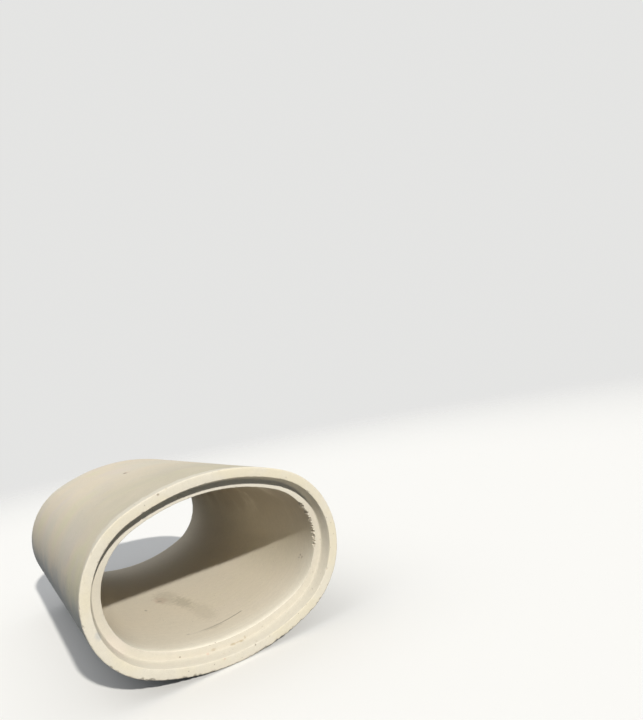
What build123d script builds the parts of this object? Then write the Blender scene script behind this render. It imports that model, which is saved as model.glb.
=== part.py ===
"""Oval concrete sewer pipe with a tongue and groove joint, lying on its wide side.

The pipe is one casting. Its section is a four-arc oval: two tight side arcs and two flatter
arcs that join with a common tangent. Every outline of the pipe runs parallel to the bore, so
all of them share the same four centres, and each one is given by its offset from the bore.

Frame: millimetres, Y along the pipe, Z up. The origin is on the floor, under the middle of
the overall length. The groove end is at -Y and the tongue end at +Y.
"""

import os
from math import cos, radians, tan

from build123d import *

INCH = 25.4

# Bore and barrel
span = 53 * INCH
rise = 34 * INCH
side_half_angle = 66.5
wall = 5 * INCH
laying_length = 96 * INCH

# Groove: its offset from the bore at the mouth and at the foot, and how deep its seat lies
groove_mouth = 2.625 * INCH
groove_foot = 2 * INCH
groove_depth = 3.375 * INCH

# Room for sealant between this pipe's tongue and the groove of the next pipe
joint_clearance = 0.1875 * INCH
nose_gap = 0.375 * INCH

# Rounded edges
rim_radius = 8.0
mouth_radius = 5.0
root_radius = 8.0

# Chamfered edges
bore_chamfer = 4.0
nose_chamfer = 6.0

# The bore's four arcs. A side arc runs side_half_angle each way from the wide axis and
# then hands over to a flat arc, whose centre is on the same line.
meeting = radians(side_half_angle)
side_centre = (span - rise) / 2 / (1 + tan(meeting) - 1 / cos(meeting))
side_radius = span / 2 - side_centre
flat_centre = side_centre * tan(meeting)
flat_radius = flat_centre + rise / 2
flat_angle = 180 - 2 * side_half_angle

# The tongue has the groove's own taper, and stands clear of it all round
tongue_length = groove_depth - nose_gap
tongue_root = groove_mouth - joint_clearance
tongue_nose = tongue_root - (groove_mouth - groove_foot) * tongue_length / groove_depth

# Places along the pipe, and the height of its axis above the floor
overall_length = laying_length + tongue_length
rim_face = -overall_length / 2
seat_face = rim_face + groove_depth
shoulder_face = rim_face + laying_length
nose_face = overall_length / 2
axis_height = rise / 2 + wall


def oval(offset, y):
    """The face of the oval that lies offset outside the bore, square to the pipe at y."""
    section = Plane(origin=(0, y, axis_height), x_dir=(-1, 0, 0), z_dir=(0, 1, 0))
    with BuildSketch(section) as outline:
        with BuildLine():
            for way, turn in ((1, 0), (-1, 180)):
                CenterArc(
                    (way * side_centre, 0),
                    side_radius + offset,
                    turn - side_half_angle,
                    2 * side_half_angle,
                )
                CenterArc(
                    (0, -way * flat_centre),
                    flat_radius + offset,
                    turn + side_half_angle,
                    flat_angle,
                )
        make_face()
    return outline.sketch


def edges_at(y, inner=False):
    """The edges round the outside, or the inside, of the pipe's flat face at y."""
    flats = pipe.faces().filter_by(Axis.Y)
    face = flats.sort_by(lambda flat: abs(flat.center().Y - y))[0]
    wire = face.inner_wires()[0] if inner else face.outer_wire()
    return wire.edges()


with BuildPart() as pipe:
    # Barrel, and the tongue that stands out of its shoulder
    extrude(oval(wall, rim_face), amount=laying_length)
    loft([oval(tongue_root, shoulder_face), oval(tongue_nose, nose_face)], ruled=True)

    # Bore, and the groove that opens it up at the rim
    extrude(oval(0, rim_face), amount=overall_length, mode=Mode.SUBTRACT)
    loft(
        [oval(groove_mouth, rim_face), oval(groove_foot, seat_face)],
        ruled=True,
        mode=Mode.SUBTRACT,
    )

    # Edges, as they leave the form
    fillet(edges_at(rim_face) + edges_at(shoulder_face), rim_radius)
    fillet(edges_at(rim_face, inner=True), mouth_radius)
    fillet(edges_at(seat_face) + edges_at(shoulder_face, inner=True), root_radius)
    chamfer(edges_at(seat_face, inner=True) + edges_at(nose_face, inner=True), bore_chamfer)
    chamfer(edges_at(nose_face), nose_chamfer)

pipe.part.label = "pipe"
os.makedirs("parts", exist_ok=True)
export_step(pipe.part, "parts/pipe.step")
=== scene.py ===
"""Looks of the oval concrete sewer pipe: its worn casting, the concrete, the light and the camera.

Metres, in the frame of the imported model: Y along the pipe, Z up, the floor at 0.
The casting is one mesh. Its wall profile is swept round the oval, then worn, chipped and
pitted. Every outline of the pipe is parallel to the bore and is given by its offset from it.
"""

import math
import random

import bmesh
import bpy
from mathutils import Matrix, Vector, noise
from mathutils.kdtree import KDTree


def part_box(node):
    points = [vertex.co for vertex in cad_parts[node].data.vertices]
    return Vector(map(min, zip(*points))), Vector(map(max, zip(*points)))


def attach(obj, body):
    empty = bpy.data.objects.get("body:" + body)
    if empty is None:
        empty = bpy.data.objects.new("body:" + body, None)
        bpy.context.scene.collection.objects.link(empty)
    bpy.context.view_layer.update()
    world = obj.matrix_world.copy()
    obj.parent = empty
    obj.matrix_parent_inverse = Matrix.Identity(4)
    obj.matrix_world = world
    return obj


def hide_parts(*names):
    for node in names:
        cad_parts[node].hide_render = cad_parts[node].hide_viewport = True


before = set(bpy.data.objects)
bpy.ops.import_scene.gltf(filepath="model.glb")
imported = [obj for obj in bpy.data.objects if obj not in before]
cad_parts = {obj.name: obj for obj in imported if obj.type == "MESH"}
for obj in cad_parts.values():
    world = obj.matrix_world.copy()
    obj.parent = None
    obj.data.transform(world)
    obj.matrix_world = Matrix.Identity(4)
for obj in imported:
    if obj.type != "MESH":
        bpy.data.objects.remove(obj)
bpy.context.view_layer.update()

INCH = 0.0254
MM = 0.001

# Sizes that the frame doesn't give by itself
WALL = 5 * INCH
SIDE_HALF_ANGLE = math.radians(66.5)
GROOVE_MOUTH = 2.625 * INCH
GROOVE_FOOT = 2 * INCH
GROOVE_DEPTH = 3.375 * INCH
TONGUE_LENGTH = 3 * INCH
JOINT_CLEARANCE = 0.1875 * INCH
RIM_RADIUS = 8 * MM
MOUTH_RADIUS = 5 * MM
ROOT_RADIUS = 8 * MM
BORE_CHAMFER = 4 * MM
NOSE_CHAMFER = 6 * MM

# Sizes from the frame
pipe_low, pipe_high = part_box("pipe")
SPAN = pipe_high.x - pipe_low.x - 2 * WALL
RISE = pipe_high.z - pipe_low.z - 2 * WALL
RIM_Y = pipe_low.y
NOSE_Y = pipe_high.y
AXIS_Z = (pipe_low.z + pipe_high.z) / 2
SEAT_Y = RIM_Y + GROOVE_DEPTH
SHOULDER_Y = NOSE_Y - TONGUE_LENGTH
TONGUE_ROOT = GROOVE_MOUTH - JOINT_CLEARANCE
TONGUE_NOSE = TONGUE_ROOT - (GROOVE_MOUTH - GROOVE_FOOT) * TONGUE_LENGTH / GROOVE_DEPTH

# The four arcs of the bore
SIDE_CENTRE = (SPAN - RISE) / 2 / (1 + math.tan(SIDE_HALF_ANGLE) - 1 / math.cos(SIDE_HALF_ANGLE))
SIDE_RADIUS = SPAN / 2 - SIDE_CENTRE
SIDE_REACH = math.sin(SIDE_HALF_ANGLE)
FLAT_CENTRE = SIDE_CENTRE * math.tan(SIDE_HALF_ANGLE)
FLAT_RADIUS = FLAT_CENTRE + RISE / 2


class Number:
    """A socket's value in a node tree. Arithmetic on it adds Math nodes."""

    def __init__(self, tree, socket):
        self.tree = tree
        self.socket = socket

    def _math(self, operation, *values):
        return self.tree.add("ShaderNodeMath", {"operation": operation}, dict(enumerate(values)))

    def __add__(self, other):
        return self._math("ADD", self, other)

    def __radd__(self, other):
        return self._math("ADD", other, self)

    def __sub__(self, other):
        return self._math("SUBTRACT", self, other)

    def __rsub__(self, other):
        return self._math("SUBTRACT", other, self)

    def __mul__(self, other):
        return self._math("MULTIPLY", self, other)

    def __rmul__(self, other):
        return self._math("MULTIPLY", other, self)

    def __neg__(self):
        return self._math("MULTIPLY", self, -1.0)

    def at_least(self, other):
        return self._math("MAXIMUM", self, other)

    def at_most(self, other):
        return self._math("MINIMUM", self, other)

    def size(self):
        return self._math("ABSOLUTE", self)

    def rise(self, low, high, top=1.0):
        """0 below low and top above high."""
        values = {"Value": self, "From Min": low, "From Max": high, "To Max": top}
        return self.tree.add("ShaderNodeMapRange", {"interpolation_type": "SMOOTHSTEP"}, values)

    def fall(self, low, high, top=1.0):
        """Top below low and 0 above high."""
        return self.rise(high, low, top)


class Tree:
    """Adds nodes to a shader or geometry tree."""

    def __init__(self, tree):
        self.tree = tree

    def add(self, kind, settings=None, values=None, output=0):
        """Add a node, set its settings and then its sockets, and return one of its outputs."""
        node = self.tree.nodes.new(kind)
        for name, setting in (settings or {}).items():
            setattr(node, name, setting)
        for key, value in (values or {}).items():
            socket = node.inputs[key]
            if isinstance(value, Number):
                self.tree.links.new(value.socket, socket)
            elif isinstance(value, list):
                for one in value:
                    self.tree.links.new(one.socket, socket)
            else:
                socket.default_value = value
        return Number(self, node.outputs[output]) if len(node.outputs) else None

    def clouds(self, place, scale, detail=3.0, roughness=0.5, seed=None):
        """Soft noise about 0.5. Its blots are about 1 / scale across."""
        values = {"Vector": place, "Scale": scale, "Detail": detail, "Roughness": roughness}
        if seed is None:
            return self.add("ShaderNodeTexNoise", None, values)
        return self.add("ShaderNodeTexNoise", {"noise_dimensions": "4D"}, {"W": seed, **values})

    def vector(self, operation, *values, output=0, **more):
        """Vector Math on the values."""
        sockets = dict(enumerate(values))
        sockets.update(more)
        return self.add("ShaderNodeVectorMath", {"operation": operation}, sockets, output)

    def blend(self, share, one, other):
        """Mix two colours."""
        return self.add("ShaderNodeMix", {"data_type": "RGBA"}, {0: share, 6: one, 7: other}, 2)

    def attribute(self, name):
        """A number kept on the mesh."""
        return self.add("ShaderNodeAttribute", {"attribute_name": name}, output="Fac")

    def part(self, vector, axis):
        """One of a vector's three coordinates."""
        return self.add("ShaderNodeSeparateXYZ", None, {0: vector}, axis)


def placed(name, data):
    """A new object in the scene."""
    made = bpy.data.objects.new(name, data)
    bpy.context.scene.collection.objects.link(made)
    return made


# The wall's profile

def rounded(before, corner, after, radius, steps):
    """Points of the arc that rounds a corner of the wall profile."""
    corner, before, after = Vector(corner), Vector(before), Vector(after)
    one = (before - corner).normalized()
    two = (after - corner).normalized()
    half = one.angle(two) / 2
    centre = corner + (one + two).normalized() * radius / math.sin(half)
    start = corner + one * radius / math.tan(half) - centre
    end = corner + two * radius / math.tan(half) - centre
    turn = start.angle_signed(end)
    points = []
    for step in range(steps + 1):
        spun = Matrix.Rotation(-turn * step / steps, 2) @ start
        points.append(centre + spun)
    return points


def run_points(start, end, first=0.004, growth=1.35, largest=0.085):
    """Points between the ends of a straight run, close together near both ends."""
    length = (end - start).length
    steps = [0.0]
    step = first
    while steps[-1] + step < length / 2:
        steps.append(steps[-1] + step)
        step = min(step * growth, largest)
    places = steps[1:]
    places += [length - place for place in reversed(places)]
    return [start.lerp(end, place / length) for place in places]


def wall_profile():
    """The wall's closed outline as (offset, y) points."""
    corners = [
        ((WALL, RIM_Y), RIM_RADIUS, 5),
        ((WALL, SHOULDER_Y), RIM_RADIUS, 4),
        ((TONGUE_ROOT, SHOULDER_Y), ROOT_RADIUS, 3),
        ((TONGUE_NOSE, NOSE_Y), NOSE_CHAMFER, 3),
        ((0, NOSE_Y), BORE_CHAMFER, 3),
        ((0, SEAT_Y), BORE_CHAMFER, 4),
        ((GROOVE_FOOT, SEAT_Y), ROOT_RADIUS, 3),
        ((GROOVE_MOUTH, RIM_Y), MOUTH_RADIUS, 4),
    ]
    count = len(corners)
    arcs = []
    for number, (corner, radius, steps) in enumerate(corners):
        before = corners[number - 1][0]
        after = corners[(number + 1) % count][0]
        arcs.append(rounded(before, corner, after, radius, steps))
    points = []
    for number, arc in enumerate(arcs):
        points += arc
        run_end = arcs[(number + 1) % count][0]
        points += run_points(arc[-1], run_end)
    return points


SHARP_CORNERS = [
    (WALL, RIM_Y),
    (WALL, SHOULDER_Y),
    (TONGUE_NOSE, NOSE_Y),
    (0, NOSE_Y),
    (0, SEAT_Y),
    (GROOVE_MOUTH, RIM_Y),
]
EDGE_REACH = 26 * MM
LIP_REACH = 45 * MM
FACE_TOLERANCE = 0.5 * MM


def profile_object():
    """The profile as an object. Its points know their surface and how near an edge they are."""
    points = wall_profile()
    count = len(points)
    mesh = bpy.data.meshes.new("wall_profile")
    links = [(number, (number + 1) % count) for number in range(count)]
    mesh.from_pydata([(point.x, point.y, 0) for point in points], links, [])

    marks = {"edge": [], "lip": [], "bore": [], "joint": []}
    for point in points:
        reach = min((point - Vector(corner)).length for corner in SHARP_CORNERS)
        marks["edge"].append(max(0.0, 1 - reach / EDGE_REACH) ** 2)
        reach = (point - Vector((0, SEAT_Y))).length
        marks["lip"].append(max(0.0, 1 - reach / LIP_REACH) ** 2)
        in_bore = point.x < FACE_TOLERANCE
        on_barrel = point.x > WALL - FACE_TOLERANCE
        marks["bore"].append(float(in_bore))
        marks["joint"].append(float(not in_bore and not on_barrel))
    for name, values in marks.items():
        mesh.attributes.new(name, "FLOAT", "POINT").data.foreach_set("value", values)

    return placed("pipe_casting", mesh)


# The swept and worn casting

SWEEP = {
    "Side centre": SIDE_CENTRE,
    "Side radius": SIDE_RADIUS,
    "Flat centre": FLAT_CENTRE,
    "Flat radius": FLAT_RADIUS,
    "Side half angle": SIDE_HALF_ANGLE,
    "Axis height": AXIS_Z,
    "Side points": 109,
    "Flat points": 117,
    "Wall unevenness": 1.6 * MM,
    "Edge crumble": 2.6 * MM,
    "Edge chips": 7 * MM,
    "Lip wear": 9 * MM,
    "Corner blur": 60,
    "Seed": 4.0,
}


def sweep_tree(material):
    """Sweep the profile round the oval and wear it, always inwards."""
    group = bpy.data.node_groups.new("swept_casting", "GeometryNodeTree")
    tree = Tree(group)
    group.interface.new_socket("Profile", in_out="INPUT", socket_type="NodeSocketGeometry")
    group.interface.new_socket("Casting", in_out="OUTPUT", socket_type="NodeSocketGeometry")
    identifiers = {}
    for name, value in SWEEP.items():
        kind = "NodeSocketInt" if isinstance(value, int) else "NodeSocketFloat"
        socket = group.interface.new_socket(name, in_out="INPUT", socket_type=kind)
        identifiers[name] = socket.identifier
    given = group.nodes.new("NodeGroupInput")
    size = {name: Number(tree, given.outputs[name]) for name in SWEEP}
    half = size["Side half angle"]

    # The oval path: two side arcs and two flat arcs, merged into one closed curve
    arcs = []
    for way, turn in ((1, 0.0), (-1, math.pi)):
        side = tree.add("GeometryNodeCurveArc", {"mode": "RADIUS"}, {
            "Resolution": size["Side points"],
            "Radius": size["Side radius"],
            "Start Angle": turn - half,
            "Sweep Angle": half * 2,
        })
        flat = tree.add("GeometryNodeCurveArc", {"mode": "RADIUS"}, {
            "Resolution": size["Flat points"],
            "Radius": size["Flat radius"],
            "Start Angle": turn + half,
            "Sweep Angle": math.pi - half * 2,
        })
        side_middle = tree.add("ShaderNodeCombineXYZ", None, {"X": size["Side centre"] * way})
        flat_middle = tree.add("ShaderNodeCombineXYZ", None, {"Y": size["Flat centre"] * -way})
        for arc, middle in ((side, side_middle), (flat, flat_middle)):
            values = {"Geometry": arc, "Translation": middle}
            arcs.append(tree.add("GeometryNodeTransform", None, values))
    path = tree.add("GeometryNodeJoinGeometry", None, {"Geometry": arcs})
    path = tree.add("GeometryNodeCurveToMesh", None, {"Curve": path})
    path = tree.add("GeometryNodeMergeByDistance", None, {"Geometry": path, "Distance": 0.01 * MM})
    path = tree.add("GeometryNodeMeshToCurve", None, {"Mesh": path})
    path = tree.add("GeometryNodeSetCurveNormal", {"mode": "Z_UP"}, {"Curve": path})

    # The sweep, stood up so that the profile's y runs along the pipe
    profile = Number(tree, given.outputs["Profile"])
    profile = tree.add("GeometryNodeMeshToCurve", None, {"Mesh": profile})
    body = tree.add("GeometryNodeCurveToMesh", None, {"Curve": path, "Profile Curve": profile})
    body = tree.add("GeometryNodeTransform", None, {
        "Geometry": body,
        "Translation": tree.add("ShaderNodeCombineXYZ", None, {"Z": size["Axis height"]}),
        "Rotation": (math.pi / 2, 0, 0),
    })

    # Wear: a slightly uneven wall, crumbled edges with some deeper chips, and at the bottom
    # of the groove a lip that is worn round
    place = tree.add("GeometryNodeInputPosition")
    height = tree.part(place, "Z")
    edge = tree.add("GeometryNodeInputNamedAttribute", {"data_type": "FLOAT"}, {"Name": "edge"})
    lip = tree.add("GeometryNodeInputNamedAttribute", {"data_type": "FLOAT"}, {"Name": "lip"})
    seed = size["Seed"]
    uneven = tree.clouds(place, 2.6, 2.0, seed=seed).rise(0.25, 0.75) * size["Wall unevenness"]
    crumble = tree.clouds(place, 55.0, 3.0, 0.6, seed + 1).rise(0.3, 0.75) * size["Edge crumble"]
    chips = tree.clouds(place, 21.0, 3.0, 0.55, seed + 2).rise(0.6, 0.78) * size["Edge chips"]
    worn_lip = lip * height.fall(0.15, 0.42) * size["Lip wear"]
    depth = uneven + (edge * (crumble + chips)).at_least(worn_lip)
    # Near an edge it all goes the same way, so that no corner folds over itself
    normal = tree.add("GeometryNodeInputNormal")
    blurred = {"Value": normal, "Iterations": size["Corner blur"]}
    way = tree.add("GeometryNodeBlurAttribute", {"data_type": "FLOAT_VECTOR"}, blurred)
    inwards = tree.vector("SCALE", tree.vector("NORMALIZE", way), Scale=-depth)
    body = tree.add("GeometryNodeSetPosition", None, {"Geometry": body, "Offset": inwards})
    body = tree.add("GeometryNodeSetShadeSmooth", None, {"Geometry": body})
    body = tree.add("GeometryNodeRealizeInstances", None, {"Geometry": body})
    body = tree.add("GeometryNodeSetMaterial", None, {"Geometry": body, "Material": material})
    tree.add("NodeGroupOutput", None, {"Casting": body})
    return group, identifiers


def swept_casting(material):
    """The casting as a plain mesh object."""
    shape = profile_object()
    group, identifiers = sweep_tree(material)
    modifier = shape.modifiers.new("sweep", "NODES")
    modifier.node_group = group
    for name, value in SWEEP.items():
        modifier[identifiers[name]] = value
    evaluated = shape.evaluated_get(bpy.context.evaluated_depsgraph_get())
    mesh = bpy.data.meshes.new_from_object(evaluated)
    shape.modifiers.clear()
    shape.data = mesh
    return shape


# Places on the pipe, and its damage

def outline_point(angle, offset, y):
    """A point on the outline at that offset from the bore, and the outline's normal there.

    The normal has that angle in degrees: 0 is the +X side, 90 the crown, 180 the -X side
    and 270 the floor.
    """
    turn = math.radians(angle)
    normal = Vector((math.cos(turn), 0, math.sin(turn)))
    if abs(normal.z) <= SIDE_REACH:
        centre = Vector((math.copysign(SIDE_CENTRE, normal.x), y, AXIS_Z))
        radius = SIDE_RADIUS + offset
    else:
        centre = Vector((0, y, AXIS_Z - math.copysign(FLAT_CENTRE, normal.z)))
        radius = FLAT_RADIUS + offset
    return centre + normal * radius, normal


class Scoop:
    """A rough egg that takes away the concrete inside it, given by its three half axes.

    The surface inside it goes straight inwards, as far as the egg's far wall.
    """

    # How rough the wall is, how far the mesh round the egg is refined, both in shares of its
    # size, the size of the roughness, and the finest mesh
    ROUGHNESS = 0.22
    SPARE = 1.15
    GRAIN = 0.6
    FINEST_MESH = 1.7 * MM

    def __init__(self, centre, axes, inwards):
        self.centre = centre
        self.inwards = inwards
        self.to_ball = Matrix(axes).transposed().inverted()
        self.way = self.to_ball @ inwards
        lengths = sorted(axis.length for axis in axes)
        self.reach = lengths[2] * self.SPARE
        self.grain = lengths[1] * self.GRAIN
        self.mesh_size = max(lengths[0] / 3, self.FINEST_MESH)

    def in_ball(self, point):
        """The point's place in the space where the scoop is a ball of radius 1."""
        return self.to_ball @ (point - self.centre)

    def pushed(self, point):
        """Where a point inside the scoop ends up, on its rough wall."""
        start = self.in_ball(point)
        radius = 1 + self.ROUGHNESS * noise.noise(point / self.grain)
        room = radius ** 2 - start.length_squared
        if room <= 0:
            return None
        along = start.dot(self.way)
        pace = self.way.length_squared
        run = (math.sqrt(along ** 2 + pace * room) - along) / pace
        return point + self.inwards * run

    def touches(self, edge):
        """Whether an edge of the mesh comes near the scoop."""
        start, end = (self.in_ball(vert.co) for vert in edge.verts)
        run = end - start
        share = max(0.0, min(1.0, -start.dot(run) / run.length_squared))
        return (start + run * share).length < self.SPARE


def edge_scoop(edge, angle, radius, lift, shape):
    """A chip off an edge, centred a share of its radius outwards from the edge.

    The shape gives its half sizes for that radius: along the edge, across the wall and along
    the pipe.
    """
    offset, y, outwards = edge
    corner, normal = outline_point(angle, offset, y)
    away = (normal * outwards[0] + Vector((0, outwards[1], 0))).normalized()
    along = Vector((-normal.z, 0, normal.x))
    axes = (along, normal, Vector((0, 1, 0)))
    axes = [axis * radius * share for axis, share in zip(axes, shape)]
    return Scoop(corner + away * radius * lift, axes, -away)


BORE_EDGE = (0, SEAT_Y, (-1, -1))
MOUTH_EDGE = (GROOVE_MOUTH, RIM_Y, (-1, -1))
RIM_EDGE = (WALL, RIM_Y, (1, -1))
SHOULDER_EDGE = (WALL, SHOULDER_Y, (1, 1))
NOSE_EDGE = (TONGUE_NOSE, NOSE_Y, (1, 1))

TOOTH_GAP = (0.6, 1.0, 2.4)
NICK = (0.7, 1.0, 1.0)
CHIP = (1.2, 1.0, 1.0)

# Edge, first and last angle, gap between chips, smallest and largest radius, how far
# outwards the chips are centred for their radius, and their shape
CHIPPED_EDGES = [
    (BORE_EDGE, -16, 32, 17 * MM, 9 * MM, 15 * MM, 0.05, TOOTH_GAP),
    (BORE_EDGE, 32, 96, 30 * MM, 4 * MM, 8 * MM, 0.2, NICK),
    (BORE_EDGE, 96, 172, 16 * MM, 3 * MM, 6 * MM, 0.15, NICK),
    (BORE_EDGE, 200, 330, 75 * MM, 7 * MM, 11 * MM, 0.3, CHIP),
    (RIM_EDGE, 236, 312, 26 * MM, 9 * MM, 17 * MM, 0.3, CHIP),
    (RIM_EDGE, 100, 236, 70 * MM, 8 * MM, 13 * MM, 0.3, CHIP),
    (RIM_EDGE, -48, 100, 90 * MM, 8 * MM, 13 * MM, 0.3, CHIP),
    (MOUTH_EDGE, 0, 360, 110 * MM, 6 * MM, 9 * MM, 0.3, CHIP),
    (SHOULDER_EDGE, 0, 360, 100 * MM, 8 * MM, 15 * MM, 0.3, CHIP),
    (NOSE_EDGE, 0, 360, 80 * MM, 8 * MM, 16 * MM, 0.3, CHIP),
]

# Angle, offset, distance from the rim's plane, radius, and the way that the surface faces:
# -1 towards the bore, 1 away from it, 0 along the pipe towards the rim
HOLES = [
    (97.9, WALL, 1.309, 8 * MM, 1),
    (103.8, 0.114, 0, 6 * MM, 0),
    (128.0, WALL, 0.62, 3.5 * MM, 1),
    (150.0, WALL, 0.93, 4 * MM, 1),
    (61.0, WALL, 0.48, 5 * MM, 1),
    (32.0, WALL, 1.71, 5 * MM, 1),
    (255.0, 0, 1.022, 5 * MM, -1),
    (265.5, 0.080, 0, 4 * MM, 0),
    (254.0, 0.037, GROOVE_DEPTH, 4 * MM, 0),
    (266.4, 0.0587, 0.044, 4.5 * MM, -1),
    (275.8, 0.0635, 0.019, 4.5 * MM, -1),
    (193.0, 0.090, 0, 3.5 * MM, 0),
    (118.0, 0.098, 0, 3.5 * MM, 0),
    (16.0, 0.108, 0, 3.5 * MM, 0),
    (331.0, 0, 0.215, 4 * MM, -1),
    (329.5, 0, 0.228, 3.5 * MM, -1),
    (332.0, 0, 0.240, 4 * MM, -1),
    (333.5, 0, 0.222, 3.5 * MM, -1),
    (322.0, 0.020, GROOVE_DEPTH, 4 * MM, 0),
    (324.0, 0.014, GROOVE_DEPTH, 4.5 * MM, 0),
]

# Long shallow spalls along an edge: edge, angle, radius, how far outwards, stretch
SPALLS = [
    (BORE_EDGE, 270.6, 13 * MM, 0.35, 3.4),
    (BORE_EDGE, 273.0, 11 * MM, 0.3, 1.8),
    (BORE_EDGE, 263.2, 9 * MM, 0.35, 2.6),
    (BORE_EDGE, 345.0, 12 * MM, 0.4, 2.0),
    (BORE_EDGE, 22.0, 12 * MM, 0.45, 2.2),
    (RIM_EDGE, 262.0, 13 * MM, 0.35, 2.4),
    (RIM_EDGE, 281.0, 14 * MM, 0.4, 2.2),
    (RIM_EDGE, 296.0, 12 * MM, 0.4, 2.6),
    (RIM_EDGE, 232.0, 11 * MM, 0.45, 2.0),
    (SHOULDER_EDGE, 75.0, 15 * MM, 0.4, 2.6),
    (SHOULDER_EDGE, 201.0, 13 * MM, 0.4, 2.0),
    (NOSE_EDGE, 34.0, 16 * MM, 0.4, 2.4),
    (NOSE_EDGE, 288.0, 15 * MM, 0.4, 2.8),
    (NOSE_EDGE, 152.0, 12 * MM, 0.45, 2.0),
]


DAMAGE_SEED = 34

# How far a hole's centre lies outside the surface, in shares of its radius
HOLE_LIFT = 0.25

# How often the mesh is refined, and the longest edge kept in a scoop, for its mesh size
REFINE_ROUNDS = 6
LONGEST_EDGE = 1.4

# How much further than the refined mesh a scoop looks for points, and how far a point is
# pushed where the face counts as fully broken
PUSH_REACH = 1.1
FULLY_BROKEN = 1.5 * MM


def scoops():
    """Every chip, spall and hole on the casting."""
    chance = random.Random(DAMAGE_SEED)
    made = []
    for edge, first, last, gap, smallest, largest, lift, shape in CHIPPED_EDGES:
        angle = first
        while angle < last:
            bend = SIDE_RADIUS if abs(math.sin(math.radians(angle))) < SIDE_REACH else FLAT_RADIUS
            angle += math.degrees(gap * chance.uniform(0.5, 1.5) / (bend + edge[0]))
            radius = smallest + (largest - smallest) * chance.random() ** 2
            out = lift * chance.uniform(0.5, 1.5)
            length = shape[0] * chance.uniform(0.75, 1.35)
            made.append(edge_scoop(edge, angle, radius, out, (length, *shape[1:])))
    for edge, angle, radius, lift, length in SPALLS:
        made.append(edge_scoop(edge, angle, radius, lift, (length, 1.0, 1.0)))
    for angle, offset, from_rim, radius, facing in HOLES:
        centre, normal = outline_point(angle, offset, RIM_Y + from_rim)
        inwards = -normal * facing if facing else Vector((0, 1, 0))
        axes = [axis * radius for axis in Matrix.Identity(3)]
        made.append(Scoop(centre - inwards * radius * HOLE_LIFT, axes, inwards))
    return made


def refine(mesh, cuts):
    """Split the edges that reach into a scoop until they are short enough for its shape."""
    for _ in range(REFINE_ROUNDS):
        mesh.edges.ensure_lookup_table()
        tree = KDTree(len(mesh.edges))
        longest = 0.0
        for edge in mesh.edges:
            start, end = (vert.co for vert in edge.verts)
            tree.insert((start + end) / 2, edge.index)
            longest = max(longest, (end - start).length)
        tree.balance()
        chosen = {}
        for scoop in cuts:
            for _, index, _ in tree.find_range(scoop.centre, scoop.reach + longest / 2):
                edge = mesh.edges[index]
                if index in chosen or edge.calc_length() < LONGEST_EDGE * scoop.mesh_size:
                    continue
                if scoop.touches(edge):
                    chosen[index] = edge
        if not chosen:
            break
        bmesh.ops.subdivide_edges(mesh, edges=list(chosen.values()), cuts=1, use_grid_fill=True)


def damage(shape):
    """Take the scoops out of the casting and mark the broken faces."""
    cuts = scoops()
    mesh = bmesh.new()
    mesh.from_mesh(shape.data)
    broken = mesh.verts.layers.float.new("broken")
    refine(mesh, cuts)
    bmesh.ops.triangulate(mesh, faces=mesh.faces[:])
    mesh.verts.ensure_lookup_table()
    tree = KDTree(len(mesh.verts))
    for vert in mesh.verts:
        tree.insert(vert.co, vert.index)
    tree.balance()
    for scoop in cuts:
        for _, index, _ in tree.find_range(scoop.centre, scoop.reach * PUSH_REACH):
            vert = mesh.verts[index]
            moved = scoop.pushed(vert.co)
            if moved is not None:
                pushed = (moved - vert.co).length
                vert[broken] = min(1.0, vert[broken] + pushed / FULLY_BROKEN)
                vert.co = moved
    mesh.to_mesh(shape.data)
    mesh.free()


# Concrete

TAN = (0.67, 0.595, 0.475, 1)
GREY = (0.63, 0.585, 0.485, 1)
OLIVE = (0.65, 0.61, 0.445, 1)
LILAC = (0.645, 0.58, 0.505, 1)
JOINT_CREAM = (0.65, 0.61, 0.515, 1)
JOINT_YELLOW = (0.66, 0.61, 0.48, 1)
SEAT_CREAM = (0.565, 0.525, 0.44, 1)
SEAT_PALE = (0.665, 0.63, 0.545, 1)
GROOVE_PALE = (0.68, 0.64, 0.545, 1)
BORE_END = (0.84, 0.795, 0.68, 1)
BORE_TAN = (0.76, 0.70, 0.58, 1)
# Painted shade in the crown of the bore
BORE_SHADE_BROWN = (0.42, 0.36, 0.28, 1)
BROKEN_FACE = (0.54, 0.46, 0.34, 1)
CRUMB_BROWN = (0.40, 0.33, 0.23, 1)
HOLE_SHADE = (0.20, 0.165, 0.125, 1)
# Blue-grey for a damp stain on the rim, and for the painted shade low on the barrel
DAMP_AND_SHADE_BLUE = (0.32, 0.365, 0.41, 1)
RUSTY = (0.55, 0.36, 0.28, 1)
SOOT = (0.33, 0.295, 0.235, 1)
DUST_GREY = (0.50, 0.455, 0.36, 1)
# Painted shade on the barrel's top near the rim
TOP_SHADE_OLIVE = (0.49, 0.455, 0.355, 1)
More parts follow.
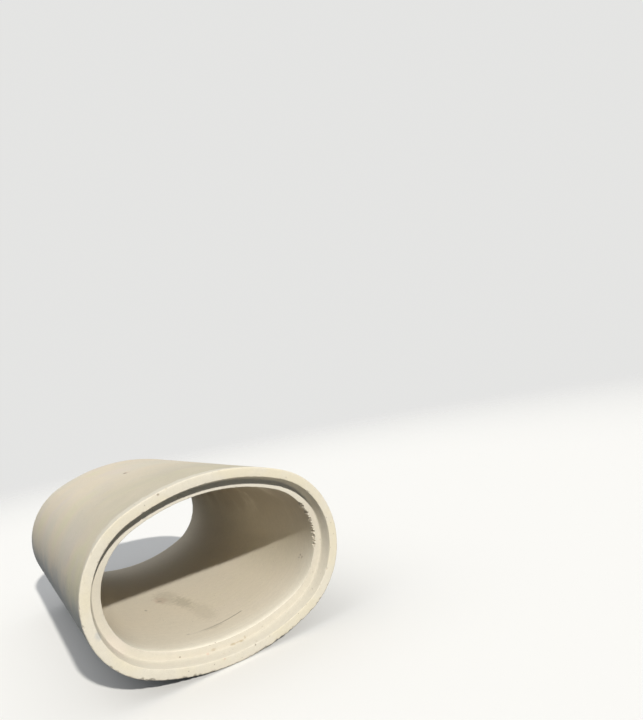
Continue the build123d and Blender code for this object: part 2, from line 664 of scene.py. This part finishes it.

# Colour, strength, angle, offset, distance from the rim, and half sizes along x, y and z
# The HOLE_SHADE rows are painted shade in holes and pits.
STAINS_AND_HOLE_SHADE = [
    # Floor of the bore
    (RUSTY, 0.35, 264.5, 0, 1.20, (0.06, 0.10, 0.05)),
    (SOOT, 0.6, 263.9, 0, 1.18, (0.016, 0.035, 0.03)),
    (SOOT, 0.6, 256.6, 0, 1.01, (0.012, 0.025, 0.02)),
    (SOOT, 0.5, 260.8, 0, 0.34, (0.014, 0.010, 0.02)),
    (DUST_GREY, 0.65, 269.9, 0, 0.98, (0.06, 0.20, 0.05)),
    (DUST_GREY, 0.45, 267.0, 0, 1.22, (0.10, 0.25, 0.05)),
    (DUST_GREY, 0.3, 271.5, 0, 0.66, (0.08, 0.26, 0.05)),
    (DUST_GREY, 0.4, 269.0, 0, 0.335, (0.085, 0.035, 0.05)),
    (HOLE_SHADE, 0.5, 265.0, 0, 0.097, (0.006, 0.006, 0.02)),
    # Sides of the bore
    (HOLE_SHADE, 0.5, 331.0, 0, 0.225, (0.007, 0.009, 0.007)),
    (HOLE_SHADE, 0.5, 332.6, 0, 0.253, (0.007, 0.009, 0.007)),
    (HOLE_SHADE, 0.4, 329.6, 0, 0.262, (0.006, 0.009, 0.006)),
    (BORE_TAN, 0.45, 33.5, 0, 0.95, (0.026, 0.04, 0.036)),
    (BORE_TAN, 0.45, 26.5, 0, 0.122, (0.015, 0.032, 0.028)),
    # Seat
    (CRUMB_BROWN, 0.8, 270.2, 0.046, GROOVE_DEPTH, (0.024, 0.02, 0.007)),
    (CRUMB_BROWN, 0.65, 271.4, 0.047, GROOVE_DEPTH, (0.020, 0.02, 0.0045)),
    (CRUMB_BROWN, 0.8, 272.6, 0.048, GROOVE_DEPTH, (0.022, 0.02, 0.006)),
    (CRUMB_BROWN, 0.65, 274.0, 0.040, GROOVE_DEPTH, (0.007, 0.02, 0.012)),
    (CRUMB_BROWN, 0.55, 264.1, 0.037, GROOVE_DEPTH, (0.018, 0.02, 0.010)),
    (RUSTY, 0.45, 262.3, 0.050, GROOVE_DEPTH, (0.013, 0.02, 0.008)),
    (HOLE_SHADE, 0.75, 254.3, 0.0385, GROOVE_DEPTH, (0.007, 0.02, 0.007)),
    (LILAC, 0.6, 214.0, 0.045, 0.06, (0.10, 0.06, 0.10)),
    # Rim
    (HOLE_SHADE, 0.8, 103.8, 0.114, 0, (0.009, 0.02, 0.008)),
    (HOLE_SHADE, 0.7, 275.1, 0.074, 0, (0.006, 0.02, 0.006)),
    (RUSTY, 0.5, 265.7, 0.074, 0, (0.007, 0.02, 0.006)),
    (DAMP_AND_SHADE_BLUE, 0.35, 196.0, 0.070, 0.01, (0.03, 0.05, 0.03)),
    # Barrel
    (HOLE_SHADE, 0.98, 97.9, WALL, 1.309, (0.017, 0.04, 0.017)),
    (RUSTY, 0.4, 97.3, WALL, 1.309, (0.03, 0.04, 0.03)),
]


def new_material(name):
    material = bpy.data.materials.new(name)
    material.use_nodes = True
    material.node_tree.nodes.clear()
    return material, Tree(material.node_tree)


def concrete():
    """Cast concrete: blotched, sandy, ringed along the form, stained, and broken at the edges."""
    material, tree = new_material("cast_concrete")
    place = tree.add("ShaderNodeTexCoord", output="Object")
    across = tree.part(place, "X")
    from_rim = tree.part(place, "Y") - RIM_Y
    height = tree.part(place, "Z")
    bore = tree.attribute("bore")
    joint = tree.attribute("joint")
    edge = tree.attribute("edge")
    broken = tree.attribute("broken").rise(0.15, 0.9)
    barrel = (1 - bore - joint).at_least(0.0)

    # Four sizes of noise, each about 0.5
    wide = tree.clouds(place, 1.6, 2.0)
    patchy = tree.clouds(place, 3.8, 3.0)
    ragged = tree.clouds(place, 31.0, 3.0, 0.65)
    sand = tree.clouds(place, 330.0, 1.0, 0.7)

    # Blotches of slightly different cement
    colour = tree.blend(wide.rise(0.36, 0.56), GREY, TAN)
    colour = tree.blend(wide.rise(0.53, 0.66) * 0.9, colour, OLIVE)
    colour = tree.blend(patchy.rise(0.5, 0.68) * 0.6, colour, LILAC)
    colour = tree.blend(bore * 0.8, colour, BORE_TAN)
    # Painted shade: the bore is darker and browner towards its crown.
    crown_painted_shade = height.rise(0.45, 0.8) * bore * patchy.rise(0.15, 0.55)
    colour = tree.blend(crown_painted_shade * 0.75, colour, BORE_SHADE_BROWN)

    # The joint faces are cleaner, and the bore's floor is paler for a hand's breadth behind them.
    # The groove's wall is the palest. The tongue, which lies beyond 1.5 m, is as pale: painted
    # light that lifts it out of its shade.
    cream = tree.blend(patchy.rise(0.44, 0.62), JOINT_CREAM, JOINT_YELLOW)
    seat = tree.blend(height.rise(0.65, 0.9), SEAT_CREAM, SEAT_PALE)
    cream = tree.blend(from_rim.rise(0.075, 0.086), cream, seat)
    groove_wall = from_rim.rise(0.003, 0.01) * from_rim.fall(0.075, 0.085)
    cream = tree.blend(groove_wall + from_rim.rise(1.5, 1.6), cream, GROOVE_PALE)
    colour = tree.blend(joint, colour, cream)
    pale_end = from_rim.fall(0.10, 0.28) * 0.85 + from_rim.fall(0.25, 0.55) * 0.15
    pale_end = pale_end * height.fall(0.35, 0.6) * wide.rise(0.1, 0.4)
    colour = tree.blend(pale_end * bore, colour, BORE_END)

    # Rings left by the form and the tamping
    ring_place = tree.vector("MULTIPLY", place, (2.0, 75.0, 2.0))
    rings = tree.clouds(ring_place, 1.0, 3.0, 0.6) - 0.5
    ring_share = (0.35 + from_rim.fall(0.1, 0.7, 0.65)) * (bore + barrel * 0.4 + joint * 0.35)

    # The barrel is painted blue-grey and streaked low down, as painted shade of its unlit
    # underside, and darker and olive on top near the rim, also as painted shade. The rim's cream
    # laps over its edge.
    painted_shade_line = height + rings * 0.12 + (patchy - 0.5) * 0.3 + (ragged - 0.5) * 0.06
    colour = tree.blend(painted_shade_line.fall(0.47, 0.72, 0.68) * barrel, colour, DAMP_AND_SHADE_BLUE)
    painted_top_shade = height.rise(0.8, 1.05) * from_rim.fall(0.2, 1.6) * (0.4 + patchy)
    colour = tree.blend((painted_top_shade * barrel * 0.75).at_most(1.0), colour, TOP_SHADE_OLIVE)
    lap_line = from_rim - height.rise(0.8, 1.0, 0.07) + (ragged + patchy - 1.0) * 0.1
    colour = tree.blend(lap_line.fall(0.0, 0.036, 0.9) * barrel, colour, cream)

    # Single stains, and painted shade in holes and pits, with ragged outlines
    outline = (ragged - 0.5) * 1.2
    for shade, strength, angle, offset, along, half_size in STAINS_AND_HOLE_SHADE:
        middle, _ = outline_point(angle, offset, RIM_Y + along)
        scaled = tree.vector("DIVIDE", place, half_size)
        scaled_middle = tuple(at / size for at, size in zip(middle, half_size))
        reach = tree.vector("DISTANCE", scaled, scaled_middle, output="Value") + outline
        colour = tree.blend(reach.fall(0.35, 1.1, strength), colour, shade)

    # A scratch round the floor of the bore, which fades to its left
    line = (from_rim - across * 0.107 - 0.345 + (ragged - 0.5) * 6 * MM).size()
    scratch = line.fall(3 * MM, 9 * MM) * across.rise(-0.25, 0.14) * across.fall(0.185, 0.2)
    scratch = scratch * height.fall(0.2, 0.3) * bore
    colour = tree.blend(scratch * 0.8, colour, SOOT)

    # Sand, with some dark grains
    tone = 1 + rings * 0.16 * ring_share
    tone = tone + (sand - 0.5) * 0.3 + (ragged - 0.5) * 0.14
    tone = tone - sand.rise(0.67, 0.72, 0.22)
    colour = tree.vector("SCALE", colour, Scale=tone)

    # Small air holes: a few in each square decimetre
    cells = {"Vector": place, "Scale": 24.0}
    reach = tree.add("ShaderNodeTexVoronoi", None, cells, "Distance")
    cell_colour = Number(tree, reach.socket.node.outputs["Color"])
    width = tree.part(cell_colour, "Y").rise(0.4, 1.0, 0.085)
    air_hole = (width - reach).rise(0.0, 0.03)
    # The air holes are painted dark, as painted shade.
    colour = tree.blend(air_hole * 0.75, colour, HOLE_SHADE)

    # Broken faces show coarser, browner concrete, and their darker colour is also painted shade in
    # the chips
    shown = (broken + edge * ragged.rise(0.55, 0.68) * 0.5).at_most(1.0)
    worn = tree.blend((sand * 0.5 + ragged * 0.5).rise(0.38, 0.6), BROKEN_FACE, JOINT_CREAM)
    colour = tree.blend(shown * 0.6, colour, worn)

    # Relief in metres
    relief = (sand - 0.5) * (0.8 * MM + broken * 2.0 * MM) + (ragged - 0.5) * 1.0 * MM
    relief = relief + rings * 1.2 * MM * ring_share - air_hole * 2 * MM
    bump = tree.add("ShaderNodeBump", None, {"Strength": 1.0, "Distance": 1.0, "Height": relief})
    roughness = 0.86 + (ragged - 0.5) * 0.12 + shown * 0.08
    shader = tree.add("ShaderNodeBsdfPrincipled", None, {
        "Base Color": colour,
        "Roughness": roughness,
        "Normal": bump,
        "Specular IOR Level": 0.35,
    })
    tree.add("ShaderNodeOutputMaterial", None, {"Surface": shader})
    return material


# Camera, light and floor

EYE = (-1.177, -4.645, 1.552)
HEADING = math.radians(31.89)
PITCH = math.radians(1.52)
ROLL = math.radians(-10.75)
LENS_MM = 29.615
SENSOR_MM = 36


def camera():
    """The camera at the photograph's viewpoint."""
    data = bpy.data.cameras.new("viewpoint")
    data.lens = LENS_MM
    data.sensor_width = SENSOR_MM
    turned = Matrix.Rotation(-HEADING, 4, "Z") @ Matrix.Rotation(math.pi / 2 + PITCH, 4, "X")
    turned = turned @ Matrix.Rotation(ROLL, 4, "Z")
    viewpoint = placed("viewpoint", data)
    viewpoint.matrix_world = Matrix.Translation(EYE) @ turned
    bpy.context.scene.camera = viewpoint


TO_KEY = Vector((-0.027, -0.861, 0.508))
KEY_STRENGTH = 3.8
KEY_ANGLE = math.radians(2)
KEY_COLOUR = (1.0, 0.965, 0.9)
TO_SIDE = Vector((-0.5, 0.1, 0.86))
SIDE_STRENGTH = 0.5
SIDE_ANGLE = math.radians(60)
SIDE_COLOUR = (1.0, 0.98, 0.95)
FILL_LOW = 0.1
FILL_LOW_COLOUR = (0.74, 0.86, 1.0, 1)
FILL_HIGH = 0.5
FILL_HIGH_COLOUR = (0.95, 0.97, 1.0, 1)
BACKDROP = (0.78, 0.78, 0.77, 1)
FLOOR_SEEN = (0.86, 0.86, 0.85, 1)
FLOOR_BOUNCE = (0.15, 0.15, 0.15, 1)
FLOOR_NEAR = 5.0
FLOOR_FAR = 16.0


def shown_rays(tree):
    """1 for what the camera sees, directly or in gloss or through glass."""
    rays = [
        tree.add("ShaderNodeLightPath", output=name)
        for name in ("Is Camera Ray", "Is Glossy Ray", "Is Transmission Ray")
    ]
    return rays[0].at_least(rays[1]).at_least(rays[2])


def lights():
    """A key light from the photograph's direction, a soft side light, and an overhead fill."""
    for name, way, strength, angle, colour in (
        ("key", TO_KEY, KEY_STRENGTH, KEY_ANGLE, KEY_COLOUR),
        ("side", TO_SIDE, SIDE_STRENGTH, SIDE_ANGLE, SIDE_COLOUR),
    ):
        data = bpy.data.lights.new(name, "SUN")
        data.energy = strength
        data.angle = angle
        data.color = colour
        placed(name, data).rotation_euler = way.to_track_quat("Z", "Y").to_euler()

    world = bpy.data.worlds.new("studio")
    world.use_nodes = True
    bpy.context.scene.world = world
    world.node_tree.nodes.clear()
    tree = Tree(world.node_tree)
    way = tree.add("ShaderNodeTexCoord", output="Generated")
    upness = tree.part(way, "Z").rise(0.0, 0.9)
    strength = FILL_LOW + upness * (FILL_HIGH - FILL_LOW)
    tint = tree.blend(upness, FILL_LOW_COLOUR, FILL_HIGH_COLOUR)
    fill = tree.add("ShaderNodeBackground", None, {"Color": tint, "Strength": strength})
    pale = tree.add("ShaderNodeBackground", None, {"Color": BACKDROP, "Strength": 1.0})
    both = tree.add("ShaderNodeMixShader", None, {0: shown_rays(tree), 1: fill, 2: pale})
    tree.add("ShaderNodeOutputWorld", None, {"Surface": both})


def floor():
    """A pale floor that fades into the backdrop."""
    material, tree = new_material("studio_floor")
    place = tree.add("ShaderNodeTexCoord", output="Object")
    away = tree.vector("LENGTH", place, output="Value").rise(FLOOR_NEAR, FLOOR_FAR)
    bounce = tree.add("ShaderNodeBsdfDiffuse", None, {"Color": FLOOR_BOUNCE})
    seen = tree.add("ShaderNodeBsdfDiffuse", None, {"Color": FLOOR_SEEN})
    surface = tree.add("ShaderNodeMixShader", None, {0: shown_rays(tree), 1: bounce, 2: seen})
    clear = tree.add("ShaderNodeBsdfTransparent")
    surface = tree.add("ShaderNodeMixShader", None, {0: away, 1: surface, 2: clear})
    tree.add("ShaderNodeOutputMaterial", None, {"Surface": surface})

    mesh = bpy.data.meshes.new("studio_floor")
    corners = [(-1, -1), (1, -1), (1, 1), (-1, 1)]
    mesh.from_pydata([(x * FLOOR_FAR, y * FLOOR_FAR, 0) for x, y in corners], [], [(0, 1, 2, 3)])
    mesh.materials.append(material)
    ground = placed("studio_floor", mesh)


camera()
lights()
floor()
casting = swept_casting(concrete())
damage(casting)

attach(casting, "root")
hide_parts("pipe")

bpy.context.scene.view_settings.view_transform = "Standard"
